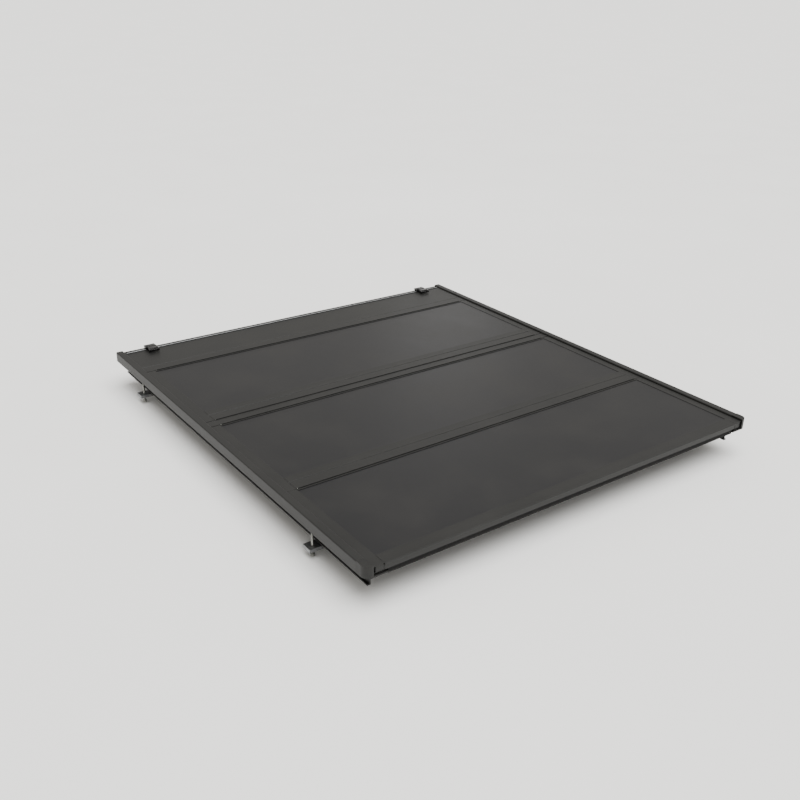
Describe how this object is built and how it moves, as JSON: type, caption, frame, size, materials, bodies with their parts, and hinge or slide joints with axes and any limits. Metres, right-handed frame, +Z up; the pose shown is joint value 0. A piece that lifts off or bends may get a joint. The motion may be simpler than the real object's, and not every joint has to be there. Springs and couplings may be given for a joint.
{
  "type": "tonneau cover",
  "caption": "Hard folding tonneau cover: framed panels on pin hinges fold towards the cab over clamp-on side rails, with latches, prop rods and storage straps.",
  "frame": {"origin": "middle of the bed opening, in the plane where the side rails rest on the bed", "axes": "+X to the right seen from the tailgate, +Y towards the cab, +Z up"},
  "size_m": [1.6, 1.7429, 0.1479],
  "materials": {
    "powder_coated_frame": "black powder coat on extruded aluminium, fine texture",
    "panel_skin": "matte black fibre-reinforced sheet",
    "foam_core": "board core with a dark backing",
    "seal_rubber": "matt EPDM",
    "black_nylon": "moulded, fine texture",
    "plated_steel": "zinc plated",
    "cast_aluminium": "as cast",
    "cable_sheath": "smooth",
    "gloss_acetal": "polished moulding",
    "strap_webbing": "woven polyester"
  },
  "bodies": {
    "root": {"left_side_rail": "powder_coated_frame", "right_side_rail": "powder_coated_frame", "left_corner_cap": "black_nylon", "right_corner_cap": "black_nylon", "left_rail_seal": "seal_rubber", "right_rail_seal": "seal_rubber", "left_rear_clamp_body": "cast_aluminium", "left_front_clamp_body": "cast_aluminium", "right_rear_clamp_body": "cast_aluminium", "right_front_clamp_body": "cast_aluminium", "header_hinge_rail": "powder_coated_frame", "header_plate": "powder_coated_frame", "bulkhead_seal": "seal_rubber", "front_hinge_pin": "plated_steel", "left_strap_buckle": "gloss_acetal", "right_strap_buckle": "gloss_acetal", "left_strap_webbing": "strap_webbing", "right_strap_webbing": "strap_webbing"},
    "front_panel": {"front_panel_left_frame": "powder_coated_frame", "front_panel_right_frame": "powder_coated_frame", "front_panel_skin": "panel_skin", "front_panel_core": "foam_core", "front_panel_rear_extrusion": "powder_coated_frame", "front_panel_front_extrusion": "powder_coated_frame", "left_rod_bracket": "powder_coated_frame", "right_rod_bracket": "powder_coated_frame", "spacer_front_pin": "plated_steel"},
    "spacer": {"hinge_spacer": "powder_coated_frame", "spacer_rear_pin": "plated_steel"},
    "middle_panel": {"middle_panel_left_frame": "powder_coated_frame", "middle_panel_right_frame": "powder_coated_frame", "middle_panel_skin": "panel_skin", "middle_panel_core": "foam_core", "middle_panel_rear_extrusion": "powder_coated_frame", "middle_panel_front_extrusion": "powder_coated_frame", "middle_panel_left_latch_housing": "black_nylon", "middle_panel_right_latch_housing": "black_nylon", "middle_panel_release_cable": "cable_sheath", "rear_hinge_pin": "plated_steel"},
    "rear_panel": {"rear_panel_left_frame": "powder_coated_frame", "rear_panel_right_frame": "powder_coated_frame", "rear_panel_skin": "panel_skin", "rear_panel_core": "foam_core", "rear_panel_rear_extrusion": "powder_coated_frame", "rear_panel_front_extrusion": "powder_coated_frame", "rear_panel_left_latch_housing": "black_nylon", "rear_panel_right_latch_housing": "black_nylon", "rear_panel_release_cable": "cable_sheath", "tailgate_seal": "seal_rubber"},
    "middle_left_latch": {"middle_panel_left_latch_bolt": "plated_steel"},
    "middle_right_latch": {"middle_panel_right_latch_bolt": "plated_steel"},
    "rear_left_latch": {"rear_panel_left_latch_bolt": "plated_steel"},
    "rear_right_latch": {"rear_panel_right_latch_bolt": "plated_steel"},
    "left_prop_rod": {"left_prop_rod": "plated_steel"},
    "left_rear_clamp_screw": {"left_rear_clamp_screw": "plated_steel"},
    "left_front_clamp_screw": {"left_front_clamp_screw": "plated_steel"},
    "right_prop_rod": {"right_prop_rod": "plated_steel"},
    "right_rear_clamp_screw": {"right_rear_clamp_screw": "plated_steel"},
    "right_front_clamp_screw": {"right_front_clamp_screw": "plated_steel"}
  },
  "joints": [
    {"name": "front_panel_hinge", "type": "hinge", "parent": "root", "child": "front_panel", "pos_m": [0, 0.6325, 0.032], "axis": [-1, 0, 0], "range_deg": [0, 85]},
    {"name": "spacer_hinge", "type": "hinge", "parent": "front_panel", "child": "spacer", "pos_m": [0, 0.1295, 0.032], "axis": [-1, 0, 0], "range_deg": [0, 90]},
    {"name": "middle_panel_hinge", "type": "hinge", "parent": "spacer", "child": "middle_panel", "pos_m": [0, 0.088, 0.032], "axis": [-1, 0, 0], "range_deg": [0, 90]},
    {"name": "rear_panel_hinge", "type": "hinge", "parent": "middle_panel", "child": "rear_panel", "pos_m": [0, -0.4165, 0.032], "axis": [-1, 0, 0], "range_deg": [0, 180]},
    {"name": "middle_left_latch_slide", "type": "slide", "parent": "middle_panel", "child": "middle_left_latch", "axis": [-1, 0, 0], "range_m": [0, 0.012], "stiffness_N_per_m": 150, "springref_m": 0.02},
    {"name": "middle_right_latch_slide", "type": "slide", "parent": "middle_panel", "child": "middle_right_latch", "axis": [1, 0, 0], "range_m": [0, 0.012], "stiffness_N_per_m": 150, "springref_m": 0.02},
    {"name": "rear_left_latch_slide", "type": "slide", "parent": "rear_panel", "child": "rear_left_latch", "axis": [-1, 0, 0], "range_m": [0, 0.012], "stiffness_N_per_m": 150, "springref_m": 0.02},
    {"name": "rear_right_latch_slide", "type": "slide", "parent": "rear_panel", "child": "rear_right_latch", "axis": [1, 0, 0], "range_m": [0, 0.012], "stiffness_N_per_m": 150, "springref_m": 0.02},
    {"name": "left_prop_rod_hinge", "type": "hinge", "parent": "front_panel", "child": "left_prop_rod", "pos_m": [-0.6885, 0.1875, -0.0009], "axis": [-1, 0, 0], "range_deg": [0, 100]},
    {"name": "left_rear_clamp_screw_slide", "type": "slide", "parent": "root", "child": "left_rear_clamp_screw", "axis": [0, 0, 1], "range_m": [-0.02, 0.008]},
    {"name": "left_front_clamp_screw_slide", "type": "slide", "parent": "root", "child": "left_front_clamp_screw", "axis": [0, 0, 1], "range_m": [-0.02, 0.008]},
    {"name": "right_prop_rod_hinge", "type": "hinge", "parent": "front_panel", "child": "right_prop_rod", "pos_m": [0.6885, 0.1875, -0.0009], "axis": [-1, 0, 0], "range_deg": [0, 100]},
    {"name": "right_rear_clamp_screw_slide", "type": "slide", "parent": "root", "child": "right_rear_clamp_screw", "axis": [0, 0, 1], "range_m": [-0.02, 0.008]},
    {"name": "right_front_clamp_screw_slide", "type": "slide", "parent": "root", "child": "right_front_clamp_screw", "axis": [0, 0, 1], "range_m": [-0.02, 0.008]}
  ],
  "couplings": [
    {"joint": "middle_right_latch_slide", "follows": "middle_left_latch_slide", "ratio": 1},
    {"joint": "rear_right_latch_slide", "follows": "rear_left_latch_slide", "ratio": 1}
  ]
}
